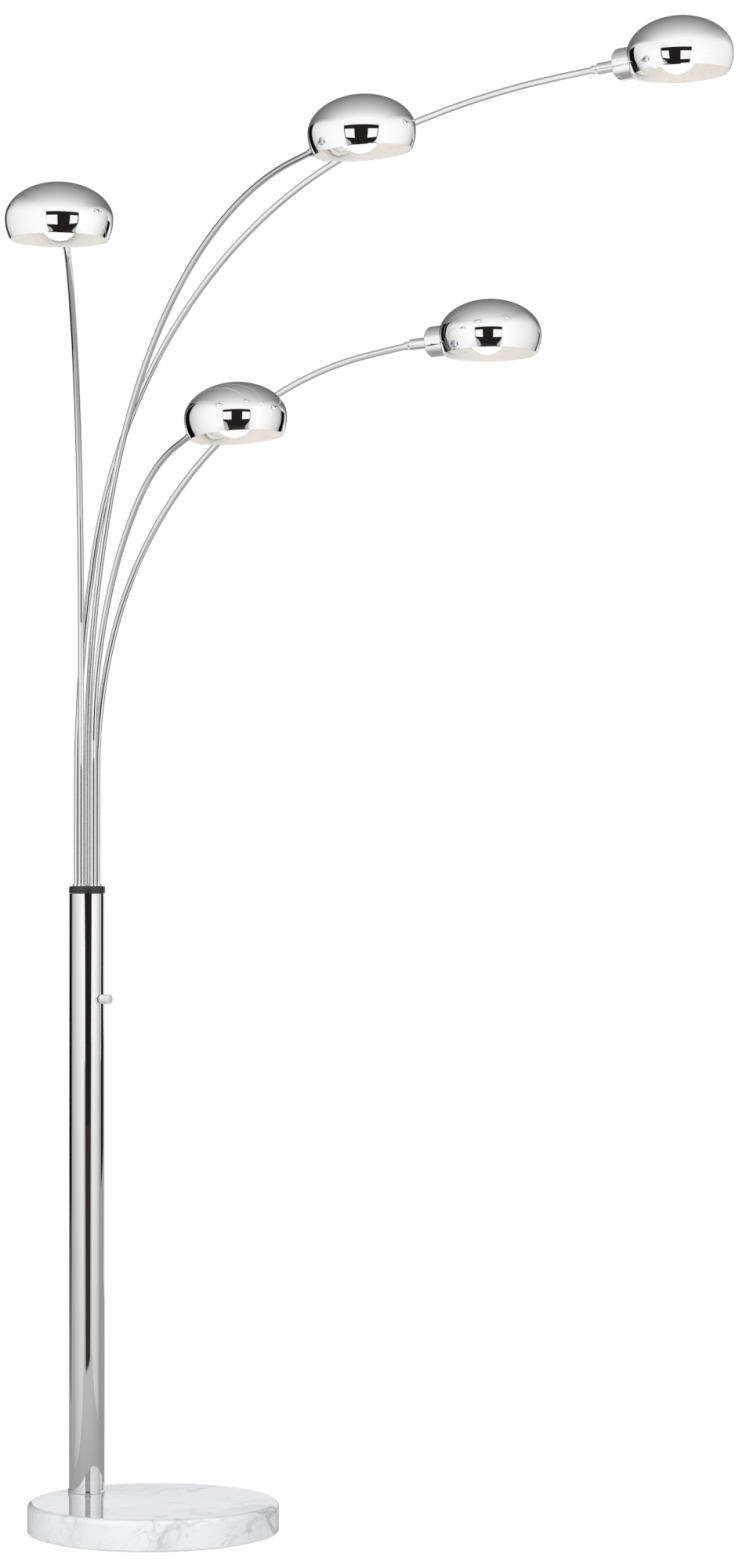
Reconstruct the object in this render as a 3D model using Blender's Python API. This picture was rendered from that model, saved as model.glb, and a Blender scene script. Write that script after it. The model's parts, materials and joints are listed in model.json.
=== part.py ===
"""Five-light arc floor lamp: marble base, chrome pole, five swivelling arms with dome shades.

Metres, +Z up. The origin is the centre of the base's underside, on the floor.
"""

import bmesh
import bpy
from math import cos, pi, radians, sin
from mathutils import Matrix, Vector

GAP = 0.0003  # clearance between two solids that touch

# Base
PAD_RADIUS = 0.165
PAD_HEIGHT = 0.002
BASE_RADIUS = 0.175
BASE_TOP = 0.044
BASE_EDGE = 0.008

# Pole
POLE_AT = Vector((-0.098, 0.083, 0.0))
POLE_RADIUS = 0.025
POLE_BORE = 0.0225
POLE_TOP = 0.889
FOOT_RING_RADIUS = 0.0262
FOOT_RING_HEIGHT = 0.005
PLUG_HEIGHT = 0.007
TRIM_CHAMFER = 0.0006  # on the foot ring and the ferrules

# Bolt that holds the pole down from below
BOLT_RADIUS = 0.005
BOLT_HEAD_RADIUS = 0.009
BOLT_HEAD_HEIGHT = 0.0065
WASHER_RADIUS = 0.015
WASHER_THICKNESS = 0.002
COUNTERBORE_RADIUS = 0.0165
COUNTERBORE_TOP = 0.0145

# Cap and the block that the arms turn in
CAP_RADIUS = 0.0255
CAP_TOP = 0.899
CAP_EDGE = 0.0028
CAP_SKIRT = 0.012
CAP_SKIRT_WALL = 0.0015
BLOCK_RADIUS = 0.0204
BLOCK_BOTTOM = 0.862
ARM_SEAT = 0.868
OVERCUT = 0.01  # how far a cutter runs past the solid that it cuts

# Dimmer on the pole; distances outwards are from the pole's axis
DIMMER_HEIGHT = 0.740
DIMMER_AZIMUTH = radians(-36)
DIMMER_BODY_RADIUS = 0.011
DIMMER_BODY_FRONT = 0.019
BUSH_RADIUS = 0.004  # threaded bush through the pole's wall
BUSH_END = 0.028
SPINDLE_RADIUS = 0.003
SPINDLE_END = 0.038
NUT_RADIUS = 0.0055
NUT_THICKNESS = 0.0022
KNOB_RADIUS = 0.0067
KNOB_BACK = 0.0258
KNOB_END = 0.042
KNOB_EDGE = 0.0012
KNOB_RECESS_RADIUS = 0.0059  # hollow back that goes over nut and bush
KNOB_RECESS_END = 0.0290
SPINDLE_HOLE_END = 0.0385

# Cord inlet at the pole's foot
INLET_HEIGHT = 0.056
INLET_AZIMUTH = radians(38)
INLET_BORE = 0.0025
GROMMET_NECK = 0.0037
GROMMET_FLANGE = 0.0047
GROMMET_PROUD = 0.0016  # how far it stands out from the pole
LEAD_RADIUS = 0.002
LEAD_BEND = 0.018
LEAD_TOP = 0.1197
TERMINAL_SIZE = (0.016, 0.012, 0.030)
TERMINAL_AT = 0.135

# Arms
TUBE_RADIUS = 0.0044
TUBE_BORE = 0.0034
HOLE_CIRCLE = 0.0150
FERRULE_RADIUS = 0.00625
FERRULE_HEIGHT = 0.0025
TIP_COLLAR_RADIUS = 0.0055
TIP_COLLAR_LENGTH = 0.0072
TIP_COLLAR_CHAMFER = 0.0016
SPIGOT_LENGTH = 0.012  # of the stud, inside the tube's end
STUD_NECK = 0.0028
WIRE_BORE = 0.0014
BALL_RADIUS = 0.005
BALL_AT = 0.0125  # from the tube's end to the centre of the ball

# Each arm: hole on the hole circle, direction seen from above, height where it starts to bend,
# bends as (radius, lean from vertical at its end), straight end, nose-up tilt and roll of the head
ARMS = [
    dict(hole=-122, azimuth=-88.7, bend_from=1.238, bends=[(0.488, 36.2), (0.535, 84.0)],
         straight=0.042, tilt=0.9, roll=-0.3),
    dict(hole=94, azimuth=-60.7, bend_from=1.066, bends=[(0.982, 22.7), (0.657, 84.0)],
         straight=0.050, tilt=2.8, roll=3.5),
    dict(hole=166, azimuth=-37.1, bend_from=1.043, bends=[(1.672, 11.1), (0.701, 73.0), (1.425, 86.0)],
         straight=0.050, tilt=2.9, roll=0.5),
    dict(hole=-50, azimuth=-60.0, bend_from=1.0995, bends=[(0.470, 46.8), (0.250, 74.0)],
         straight=0.040, tilt=5.0, roll=1.5),
    dict(hole=22, azimuth=-34.0, bend_from=1.063, bends=[(0.642, 16.6), (0.534, 82.0)],
         straight=0.060, tilt=2.3, roll=-2.1),
]

# Head, along its own axis from the centre of the ball
COLLAR_RADIUS = 0.0075
COLLAR_MOUTH = -0.0030
COLLAR_MOUTH_RADIUS = 0.0054
COLLAR_CHAMFER = 0.0008
COLLAR_BORE = 0.0030
COLLAR_BORE_FROM = 0.0075
COLLAR_SPIGOT_RADIUS = 0.0052
COLLAR_SPIGOT_LENGTH = 0.004
CUP_RADIUS = 0.0208
CUP_WALL = 0.0011
CUP_EDGE = 0.0018
CUP_BACK = 0.030
CUP_FRONT = 0.066
SHADE_AT = 0.123
SHADE_RADIUS = 0.0685
SHADE_WALL = 0.0010
SHADE_WIDEST = 0.001  # height of the widest place above the head's axis
SHADE_TOP = 0.0475
SHADE_RIM = -0.025
SHADE_RIM_RADIUS = 0.062
HOLDER_RADIUS = 0.0142
HOLDER_HOLE = 0.0148  # in the dome
HOLDER_BORE = 0.0118
HOLDER_BACK = 0.040
HOLDER_BACK_RADIUS = 0.011
HOLDER_FLANGE = (0.0475, 0.0505)
HOLDER_FLANGE_RADIUS = 0.0175
HOLDER_FLOOR = 0.052
HOLDER_TAPER_FROM = 0.074
HOLDER_TAPER = 0.001
HOLDER_FRONT = 0.084
HOLDER_WIRE_HOLE = 0.003
RING_RADIUS = 0.0185
RING_BACK = 0.0622
RING_FRONT = 0.0662
BULB_AT = 0.118
BULB_RADIUS = 0.025
BULB_NECK = 0.0112
BULB_THROAT = 0.0956  # where the neck meets the globe
BULB_END = 0.056
BULB_TIP_RADIUS = 0.004

COLOURS = {
    "pad": ((0.05, 0.05, 0.05), 0.9, 0.0),
    "marble": ((0.85, 0.85, 0.87), 0.08, 0.0),
    "steel": ((0.60, 0.60, 0.62), 0.35, 1.0),
    "chrome": ((0.92, 0.92, 0.93), 0.05, 1.0),
    "black": ((0.03, 0.03, 0.032), 0.4, 0.0),
    "nylon": ((0.80, 0.80, 0.78), 0.5, 0.0),
    "satin": ((0.80, 0.80, 0.79), 0.3, 1.0),
    "white": ((0.90, 0.88, 0.85), 0.45, 0.0),
    "bulb": ((1.0, 0.96, 0.90), 0.25, 0.0),
    "wire": ((0.06, 0.06, 0.06), 0.6, 0.0),
}


def clear_scene():
    for obj in list(bpy.data.objects):
        bpy.data.objects.remove(obj, do_unlink=True)


def material_for(name, colour_name):
    colour, roughness, metallic = COLOURS[colour_name]
    material = bpy.data.materials.new(name)
    material.use_nodes = True
    shader = material.node_tree.nodes["Principled BSDF"]
    shader.inputs["Base Color"].default_value = (*colour, 1.0)
    shader.inputs["Roughness"].default_value = roughness
    shader.inputs["Metallic"].default_value = metallic
    return material


def add_object(name, bm, colour_name, parent=None, place=None, sharp=35):
    """Turn bm into a named object, placed in its parent's frame."""
    bmesh.ops.recalc_face_normals(bm, faces=bm.faces)
    mesh = bpy.data.meshes.new(name)
    bm.to_mesh(mesh)
    bm.free()
    mesh.shade_smooth()
    mesh.set_sharp_from_angle(angle=radians(sharp))
    obj = bpy.data.objects.new(name, mesh)
    bpy.context.collection.objects.link(obj)
    if colour_name:
        mesh.materials.append(material_for(name, colour_name))
    if parent:
        obj.parent = parent
    if place:
        obj.matrix_local = place
    return obj


def add_empty(name, parent, place):
    empty = bpy.data.objects.new(name, None)
    bpy.context.collection.objects.link(empty)
    empty.empty_display_size = 0.03
    if parent:
        empty.parent = parent
    empty.matrix_local = place
    return empty


def turned(profile, steps, ring=False):
    """Spin (radius, height) points round Z. A ring's profile closes on itself."""
    bm = bmesh.new()
    verts = [bm.verts.new((radius, 0.0, height)) for radius, height in profile]
    edges = [bm.edges.new(pair) for pair in zip(verts, verts[1:])]
    if ring:
        edges.append(bm.edges.new((verts[-1], verts[0])))
    bmesh.ops.spin(bm, geom=verts + edges, cent=(0, 0, 0), axis=(0, 0, 1), angle=2 * pi,
                   steps=steps, use_merge=True)
    bmesh.ops.remove_doubles(bm, verts=bm.verts, dist=1e-6)
    return bm


def cylinder(radius, low, high, steps):
    return turned([(0, low), (radius, low), (radius, high), (0, high)], steps)


def arc(centre, radii, start, end, count):
    """Points on an ellipse from start to end degrees, both included."""
    angles = [radians(start + (end - start) * k / count) for k in range(count + 1)]
    return [(centre[0] + radii[0] * cos(a), centre[1] + radii[1] * sin(a)) for a in angles]


def cut(obj, cutter_mesh, place=None):
    """Take the cutter out of obj and apply the result."""
    cutter = add_object("cutter", cutter_mesh, None, place=place)
    modifier = obj.modifiers.new("cut", "BOOLEAN")
    modifier.operation = "DIFFERENCE"
    modifier.object = cutter
    bpy.context.view_layer.update()
    graph = bpy.context.evaluated_depsgraph_get()
    result = bpy.data.meshes.new_from_object(obj.evaluated_get(graph))
    obj.modifiers.clear()
    obj.data = result
    result.shade_smooth()
    result.set_sharp_from_angle(angle=radians(35))
    bpy.data.objects.remove(cutter, do_unlink=True)


def along(azimuth, height):
    """Frame on the pole's axis whose Z points out sideways towards azimuth."""
    turn = Matrix.Rotation(azimuth, 4, "Z") @ Matrix.Rotation(pi / 2, 4, "Y")
    return Matrix.Translation(POLE_AT + Vector((0, 0, height))) @ turn


def at_pole():
    return Matrix.Translation(POLE_AT)


# Stand ------------------------------------------------------------------------------------------

def make_base():
    add_object("floor_pad", cylinder(PAD_RADIUS, 0.0, PAD_HEIGHT, 40), "pad")
    low = PAD_HEIGHT + GAP
    edge = arc((BASE_RADIUS - BASE_EDGE, BASE_TOP - BASE_EDGE), (BASE_EDGE, BASE_EDGE), 0, 90, 3)
    chamfer = 0.0015
    profile = [(0, low), (BASE_RADIUS - chamfer, low), (BASE_RADIUS, low + chamfer)]
    profile += edge + [(0, BASE_TOP)]
    base = add_object("marble_base", turned(profile, 48), "marble")
    bolt_hole = BOLT_RADIUS + GAP
    stepped = [(0, 0), (COUNTERBORE_RADIUS, 0), (COUNTERBORE_RADIUS, COUNTERBORE_TOP),
               (bolt_hole, COUNTERBORE_TOP), (bolt_hole, BASE_TOP + 0.01), (0, BASE_TOP + 0.01)]
    cut(base, turned(stepped, 16), at_pole())


def make_bolt():
    washer_top = COUNTERBORE_TOP - GAP
    washer_low = washer_top - WASHER_THICKNESS
    hole = BOLT_RADIUS + GAP
    washer = [(hole, washer_low), (WASHER_RADIUS, washer_low), (WASHER_RADIUS, washer_top),
              (hole, washer_top)]
    add_object("base_washer", turned(washer, 20, ring=True), "steel", place=at_pole())
    head_top = washer_low - GAP
    bolt = cylinder(BOLT_RADIUS, head_top, BASE_TOP + PLUG_HEIGHT, 12)
    head = cylinder(BOLT_HEAD_RADIUS, head_top - BOLT_HEAD_HEIGHT, head_top, 6)
    for face in [f for f in head.faces if f.calc_center_median().z > head_top - 1e-5]:
        head.faces.remove(face)
    for face in [f for f in bolt.faces if f.calc_center_median().z < head_top + 1e-5]:
        bolt.faces.remove(face)
    mesh = bpy.data.meshes.new("shank")
    bolt.to_mesh(mesh)
    head.from_mesh(mesh)
    bmesh.ops.delete(head, geom=[v for v in head.verts if not v.link_faces], context="VERTS")
    bmesh.ops.bridge_loops(head, edges=[e for e in head.edges if e.is_boundary])
    add_object("base_bolt", head, "steel", place=at_pole())
    bpy.data.meshes.remove(mesh)
    bolt.free()


def make_pole():
    low = BASE_TOP + GAP
    plug_hole = BOLT_RADIUS + GAP
    plug_radius = POLE_BORE - GAP
    plug_top = low + PLUG_HEIGHT
    plug = [(plug_hole, low), (plug_radius, low), (plug_radius, plug_top), (plug_hole, plug_top)]
    add_object("pole_plug", turned(plug, 28, ring=True), "steel", place=at_pole())

    ring_bore = POLE_RADIUS + GAP
    ring_top = low + FOOT_RING_HEIGHT
    ring = [(ring_bore, low), (FOOT_RING_RADIUS, low), (FOOT_RING_RADIUS, ring_top - TRIM_CHAMFER),
            (FOOT_RING_RADIUS - TRIM_CHAMFER, ring_top), (ring_bore, ring_top)]
    add_object("pole_foot_ring", turned(ring, 32, ring=True), "chrome", place=at_pole())

    tube = [(POLE_BORE, low), (POLE_RADIUS, low), (POLE_RADIUS, POLE_TOP), (POLE_BORE, POLE_TOP)]
    pole = add_object("pole_tube", turned(tube, 32, ring=True), "chrome", place=at_pole())
    inside = POLE_BORE - OVERCUT
    outside = POLE_RADIUS + OVERCUT
    bush_hole = BUSH_RADIUS + GAP
    cut(pole, cylinder(bush_hole, inside, outside, 12), along(DIMMER_AZIMUTH, DIMMER_HEIGHT))
    grommet_hole = GROMMET_NECK + GAP
    cut(pole, cylinder(grommet_hole, inside, outside, 12), along(INLET_AZIMUTH, INLET_HEIGHT))


def hole_at(arm):
    angle = radians(arm["hole"])
    return POLE_AT + HOLE_CIRCLE * Vector((cos(angle), sin(angle), 0))


def make_cap():
    low = POLE_TOP + GAP
    skirt_outer = POLE_BORE - GAP
    skirt_inner = skirt_outer - CAP_SKIRT_WALL
    skirt_low = low - CAP_SKIRT
    profile = [(0, low), (skirt_inner, low), (skirt_inner, skirt_low), (skirt_outer, skirt_low),
               (skirt_outer, low), (CAP_RADIUS, low)]
    centre = (CAP_RADIUS - CAP_EDGE, CAP_TOP - CAP_EDGE)
    profile += arc(centre, (CAP_EDGE, CAP_EDGE), 0, 90, 3) + [(0, CAP_TOP)]
    cap = add_object("pole_cap", turned(profile, 32), "black", place=at_pole())
    block_mesh = cylinder(BLOCK_RADIUS, BLOCK_BOTTOM, low - GAP, 32)
    block = add_object("arm_bearing_block", block_mesh, "nylon", place=at_pole())
    clear = TUBE_RADIUS + GAP
    seat = ARM_SEAT - GAP
    wire_way = TUBE_BORE - GAP
    below = BLOCK_BOTTOM - OVERCUT
    above = CAP_TOP + OVERCUT
    stepped = [(0, below), (wire_way, below), (wire_way, seat), (clear, seat), (clear, above), (0, above)]
    for arm in ARMS:
        for obj in (cap, block):
            cut(obj, turned(stepped, 10), Matrix.Translation(hole_at(arm)))


def make_dimmer():
    place = along(DIMMER_AZIMUTH, DIMMER_HEIGHT)
    back = 0.002
    body = [(0, back), (DIMMER_BODY_RADIUS, back), (DIMMER_BODY_RADIUS, DIMMER_BODY_FRONT),
            (BUSH_RADIUS, DIMMER_BODY_FRONT), (BUSH_RADIUS, BUSH_END), (SPINDLE_RADIUS, BUSH_END),
            (SPINDLE_RADIUS, SPINDLE_END), (0, SPINDLE_END)]
    add_object("dimmer_body", turned(body, 16), "black", place=place)

    low = POLE_RADIUS + GAP
    high = low + NUT_THICKNESS
    bore = BUSH_RADIUS + GAP
    nut = [(bore, low), (NUT_RADIUS, low), (NUT_RADIUS, high), (bore, high)]
    add_object("dimmer_nut", turned(nut, 12, ring=True), "steel", place=place)

    spindle_hole = SPINDLE_RADIUS + GAP
    knob = [(KNOB_RECESS_RADIUS, KNOB_BACK), (KNOB_RADIUS, KNOB_BACK)]
    knob += arc((KNOB_RADIUS - KNOB_EDGE, KNOB_END - KNOB_EDGE), (KNOB_EDGE, KNOB_EDGE), 0, 90, 2)
    knob += [(0, KNOB_END), (0, SPINDLE_HOLE_END), (spindle_hole, SPINDLE_HOLE_END),
             (spindle_hole, KNOB_RECESS_END), (KNOB_RECESS_RADIUS, KNOB_RECESS_END)]
    bm = turned(knob, 20)
    # the outline is open between the recess's mouth and the outer edge: close that annulus
    bmesh.ops.bridge_loops(bm, edges=[e for e in bm.edges if e.is_boundary])
    axis = add_empty("knob_turn_axis", None, place)
    add_object("dimmer_knob", bm, "satin", parent=axis)


def make_inlet():
    flange = POLE_RADIUS + GAP
    inner_end = POLE_BORE - 0.0015
    face = flange + GROMMET_PROUD
    half = flange + GROMMET_PROUD / 2
    grommet = [(INLET_BORE, inner_end), (GROMMET_NECK, inner_end), (GROMMET_NECK, flange),
               (GROMMET_FLANGE, flange), (GROMMET_FLANGE, half), (GROMMET_NECK + GAP, face),
               (INLET_BORE, face)]
    place = along(INLET_AZIMUTH, INLET_HEIGHT)
    add_object("cord_grommet", turned(grommet, 16, ring=True), "black", place=place)

    bm = bmesh.new()
    bmesh.ops.create_cube(bm, size=1.0, matrix=Matrix.Diagonal((*TERMINAL_SIZE, 1.0)))
    bmesh.ops.bevel(bm, geom=bm.edges[:], offset=0.001, segments=1, affect="EDGES")
    block_place = Matrix.Translation(POLE_AT + Vector((0, 0, TERMINAL_AT)))
    add_object("terminal_block", bm, "nylon", place=block_place)

    # the lead comes in level through the grommet, turns up and ends below the terminal block
    outward = Vector((cos(INLET_AZIMUTH), sin(INLET_AZIMUTH), 0))
    turn = [radians(90 * k / 6) for k in range(7)]
    route = [(LEAD_BEND * (1 - sin(t)), INLET_HEIGHT + LEAD_BEND * (1 - cos(t))) for t in turn]
    halfway = (route[-1][1] + LEAD_TOP) / 2
    route += [(0.0, halfway), (0.0, LEAD_TOP)]
    curve = bpy.data.curves.new("supply_lead", "CURVE")
    curve.dimensions = "3D"
    curve.bevel_depth = LEAD_RADIUS
    curve.bevel_resolution = 2
    curve.use_fill_caps = True
    spline = curve.splines.new("POLY")
    spline.points.add(len(route) - 1)
    for point, (reach, height) in zip(spline.points, route):
        point.co = (*(POLE_AT + outward * reach + Vector((0, 0, height))), 1.0)
    lead = bpy.data.objects.new("supply_lead", curve)
    curve.materials.append(material_for("supply_lead", "wire"))
    bpy.context.collection.objects.link(lead)


# Arms -------------------------------------------------------------------------------------------

def arm_path(arm):
    """(reach, height, lean from vertical) along an arm, from its seat to the tube's end."""
    path = [(0.0, ARM_SEAT, 0.0), (0.0, arm["bend_from"], 0.0)]
    lean = 0.0
    for radius, end_degrees in arm["bends"]:
        end = radians(end_degrees)
        count = max(2, round((end_degrees - lean * 180 / pi) / 7))
        reach, height, start = path[-1]
        for k in range(1, count + 1):
            now = start + (end - start) * k / count
            out = radius * (cos(start) - cos(now))
            up = radius * (sin(now) - sin(start))
            path.append((reach + out, height + up, now))
        lean = end
    reach, height, lean = path[-1]
    straight = arm["straight"]
    path.append((reach + straight * sin(lean), height + straight * cos(lean), lean))
    return path


def swept_tube(path, outer, bore, sides):
    """Hollow tube along a path in the XZ plane, open at both ends."""
    bm = bmesh.new()
    angles = [2 * pi * (k + 0.5) / sides for k in range(sides)]
    loops = []
    for reach, height, lean in path:
        across = Vector((cos(lean), 0, -sin(lean)))
        sideways = Vector((0, 1, 0))
        centre = Vector((reach, 0, height))
        rays = [across * cos(a) + sideways * sin(a) for a in angles]
        loops.append([[bm.verts.new(centre + radius * ray) for ray in rays] for radius in (outer, bore)])
    for side in (0, 1):
        for one, two in zip(loops, loops[1:]):
            for k in range(sides):
                n = (k + 1) % sides
                bm.faces.new((one[side][k], one[side][n], two[side][n], two[side][k]))
    for pair in (loops[0], loops[-1]):
        for k in range(sides):
            n = (k + 1) % sides
            bm.faces.new((pair[0][k], pair[0][n], pair[1][n], pair[1][k]))
    return bm


def make_arm(number, arm):
    """Tube, ferrule and ball stud. Returns the frame at the centre of the ball, in the arm's own frame."""
    hole = hole_at(arm)
    place = Matrix.Translation(hole) @ Matrix.Rotation(radians(arm["azimuth"]), 4, "Z")
    axis = add_empty(f"arm_swivel_{number}_axis", None, place)
    path = arm_path(arm)
    add_object(f"arm_tube_{number}", swept_tube(path, TUBE_RADIUS, TUBE_BORE, 6), "chrome", parent=axis)

    low = CAP_TOP + GAP
    bore = TUBE_RADIUS + GAP
    top = low + FERRULE_HEIGHT
    ferrule = [(bore, low), (FERRULE_RADIUS, low), (FERRULE_RADIUS, top - TRIM_CHAMFER),
               (FERRULE_RADIUS - TRIM_CHAMFER, top), (bore, top)]
    add_object(f"arm_ferrule_{number}", turned(ferrule, 12, ring=True), "chrome", parent=axis)

    reach, height, lean = path[-1]
    end = Matrix.Translation((reach, 0, height)) @ Matrix.Rotation(lean, 4, "Y")
    spigot = TUBE_BORE - 2 * GAP
    stud = [(WIRE_BORE, -SPIGOT_LENGTH), (spigot, -SPIGOT_LENGTH), (spigot, GAP), (TIP_COLLAR_RADIUS, GAP),
            (TIP_COLLAR_RADIUS, TIP_COLLAR_LENGTH - TIP_COLLAR_CHAMFER),
            (TIP_COLLAR_RADIUS - TIP_COLLAR_CHAMFER, TIP_COLLAR_LENGTH), (STUD_NECK, TIP_COLLAR_LENGTH)]
    stud += arc((0, BALL_AT), (BALL_RADIUS, BALL_RADIUS), -56, 72, 5)
    stud += [(WIRE_BORE, BALL_AT + 0.92 * BALL_RADIUS)]
    add_object(f"ball_stud_{number}", turned(stud, 10, ring=True), "chrome", parent=axis, place=end)
    ball = end @ Matrix.Translation((0, 0, BALL_AT))
    return axis, ball.translation


# Heads ------------------------------------------------------------------------------------------

def shade_profile(inset):
    """Outer (inset 0) or inner outline of the dome, from the top to the rim."""
    radius = SHADE_RADIUS - inset
    above = SHADE_TOP - SHADE_WIDEST - inset
    drop = SHADE_WIDEST - SHADE_RIM
    below = drop / (1 - (SHADE_RIM_RADIUS / SHADE_RADIUS) ** 2) ** 0.5
    upper = arc((0, SHADE_WIDEST), (radius, above), 90, 0, 6)
    upper[0] = (0, SHADE_WIDEST + above)
    drops = (drop / 2, drop)
    lower = [(radius * (1 - (d / below) ** 2) ** 0.5, SHADE_WIDEST - d) for d in drops]
    return upper + lower


def make_head(number, arm, axis, ball):
    pitch = Matrix.Rotation(radians(-arm["tilt"]), 4, "Y") @ Matrix.Rotation(radians(arm["roll"]), 4, "X")
    head = add_empty(f"head_tilt_{number}_axis", axis, Matrix.Translation(ball) @ pitch)
    ahead = Matrix.Rotation(pi / 2, 4, "Y")  # a turned part's Z, laid along the head's X
    upright = Matrix.Translation((SHADE_AT, 0, 0))

    seat = BALL_RADIUS + 0.0005
    end = CUP_BACK - GAP
    spigot_end = CUP_BACK + COLLAR_SPIGOT_LENGTH
    collar = [(COLLAR_RADIUS - COLLAR_CHAMFER, COLLAR_MOUTH), (COLLAR_RADIUS, COLLAR_MOUTH + COLLAR_CHAMFER),
              (COLLAR_RADIUS, end), (COLLAR_SPIGOT_RADIUS, end), (COLLAR_SPIGOT_RADIUS, spigot_end),
              (COLLAR_BORE, spigot_end), (COLLAR_BORE, COLLAR_BORE_FROM)]
    collar += arc((0, 0), (seat, seat), 57, -26, 4) + [(COLLAR_MOUTH_RADIUS, COLLAR_MOUTH)]
    collar_mesh = turned(collar, 10, ring=True)
    add_object(f"swivel_collar_{number}", collar_mesh, "chrome", parent=head, place=ahead)

    inner = CUP_RADIUS - CUP_WALL
    hole = COLLAR_SPIGOT_RADIUS + GAP
    cup = [(hole, CUP_BACK)]
    cup += arc((CUP_RADIUS - CUP_EDGE, CUP_BACK + CUP_EDGE), (CUP_EDGE, CUP_EDGE), -90, 0, 2)
    cup += [(CUP_RADIUS, CUP_FRONT), (inner, CUP_FRONT), (inner, CUP_BACK + CUP_WALL),
            (hole, CUP_BACK + CUP_WALL)]
    cup_mesh = turned(cup, 16, ring=True)
    socket_cup = add_object(f"socket_cup_{number}", cup_mesh, "chrome", parent=head, place=ahead)

    outer = shade_profile(-GAP)
    below = SHADE_RIM - OVERCUT
    solid = outer + [(outer[-1][0] - 0.001, below), (0, below)]
    bpy.context.view_layer.update()
    cut(socket_cup, turned(solid, 24), head.matrix_world @ upright)

    dome = turned(shade_profile(0) + shade_profile(SHADE_WALL)[::-1], 24)
    shade = add_object(f"shade_{number}", dome, "chrome", parent=head, place=upright)
    bpy.context.view_layer.update()
    cut(shade, cylinder(HOLDER_HOLE, 0.04, 0.08, 14), head.matrix_world @ ahead)

    front_radius = HOLDER_RADIUS - HOLDER_TAPER
    flange_back, flange_front = HOLDER_FLANGE
    holder = [(HOLDER_WIRE_HOLE, HOLDER_BACK), (HOLDER_BACK_RADIUS, HOLDER_BACK),
              (HOLDER_BACK_RADIUS, flange_back), (HOLDER_FLANGE_RADIUS, flange_back),
              (HOLDER_FLANGE_RADIUS, flange_front), (HOLDER_RADIUS, flange_front),
              (HOLDER_RADIUS, HOLDER_TAPER_FROM), (front_radius, HOLDER_FRONT),
              (HOLDER_BORE, HOLDER_FRONT), (HOLDER_BORE, HOLDER_FLOOR), (HOLDER_WIRE_HOLE, HOLDER_FLOOR)]
    holder_mesh = turned(holder, 14, ring=True)
    add_object(f"lampholder_{number}", holder_mesh, "white", parent=head, place=ahead)

    bore = HOLDER_RADIUS + GAP
    ring = [(bore, RING_BACK), (RING_RADIUS, RING_BACK), (RING_RADIUS, RING_FRONT), (bore, RING_FRONT)]
    ring_mesh = turned(ring, 14, ring=True)
    add_object(f"shade_ring_{number}", ring_mesh, "white", parent=head, place=ahead)

    bulb = [(0, BULB_END), (BULB_TIP_RADIUS, BULB_END), (BULB_NECK, BULB_END + 0.004),
            (BULB_NECK, BULB_THROAT)]
    bulb += arc((0, BULB_AT), (BULB_RADIUS, BULB_RADIUS), -56, 90, 7)[:-1]
    bulb += [(0, BULB_AT + BULB_RADIUS)]
    add_object(f"bulb_{number}", turned(bulb, 16), "bulb", parent=head, place=ahead)


def main():
    clear_scene()
    make_base()
    make_bolt()
    make_pole()
    make_cap()
    make_dimmer()
    make_inlet()
    for number, arm in enumerate(ARMS, start=1):
        axis, ball = make_arm(number, arm)
        make_head(number, arm, axis, ball)


main()
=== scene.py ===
"""Looks of the five-light arc floor lamp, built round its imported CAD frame.

Metres, +Z up, in the CAD's own frame. The camera stands on the -Y side of the lamp.
Every size here repeats the CAD's, so each piece covers the CAD solid that it stands for.
"""

import json
from math import atan2, cos, pi, radians, sin, sqrt

import bmesh
import bpy
from mathutils import Matrix, Vector


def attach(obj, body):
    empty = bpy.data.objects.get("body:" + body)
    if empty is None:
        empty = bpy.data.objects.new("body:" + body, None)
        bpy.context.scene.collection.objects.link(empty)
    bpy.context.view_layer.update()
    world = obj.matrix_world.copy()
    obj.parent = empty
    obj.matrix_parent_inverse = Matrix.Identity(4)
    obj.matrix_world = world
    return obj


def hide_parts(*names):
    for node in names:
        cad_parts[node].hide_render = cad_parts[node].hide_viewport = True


GAP = 0.0003
CLEARANCE = 0.0001  # between a piece and the one that it goes round

# Base and pole
BASE_LOW = 0.0023
BASE_RADIUS = 0.175
BASE_TOP = 0.044
BASE_EDGE = 0.008
COUNTERBORE_RADIUS = 0.0165
COUNTERBORE_TOP = 0.0145
POLE_AT = Vector((-0.098, 0.083, 0.0))
POLE_RADIUS = 0.025
POLE_BORE = 0.0225
POLE_TOP = 0.889
FOOT_RING_RADIUS = 0.0262
FOOT_RING_HEIGHT = 0.005
CAP_RADIUS = 0.0255
CAP_TOP = 0.899
CAP_EDGE = 0.0028
CAP_SKIRT = 0.012
ARM_SEAT = 0.868

# Dimmer knob and cord inlet on the pole
DIMMER_HEIGHT = 0.740
DIMMER_AZIMUTH = radians(-36)
KNOB_RADIUS = 0.0067
KNOB_END = 0.042
KNOB_RECESS_RADIUS = 0.0059
KNOB_RECESS_END = 0.0290
SPINDLE_HOLE_RADIUS = 0.0033
SPINDLE_HOLE_END = 0.0385
INLET_HEIGHT = 0.056
INLET_AZIMUTH = radians(38)
INLET_BORE = 0.0025
INLET_FLANGE = 0.0047

# Arms
TUBE_RADIUS = 0.0044
TUBE_BORE = 0.0034
FERRULE_RADIUS = 0.00625
FERRULE_HEIGHT = 0.0025
TIP_COLLAR_RADIUS = 0.0055
TIP_COLLAR_LENGTH = 0.0072
TIP_COLLAR_CHAMFER = 0.0016
SPIGOT_LENGTH = 0.012
STUD_NECK = 0.0028
BALL_RADIUS = 0.005
BALL_AT = 0.0125
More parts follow.
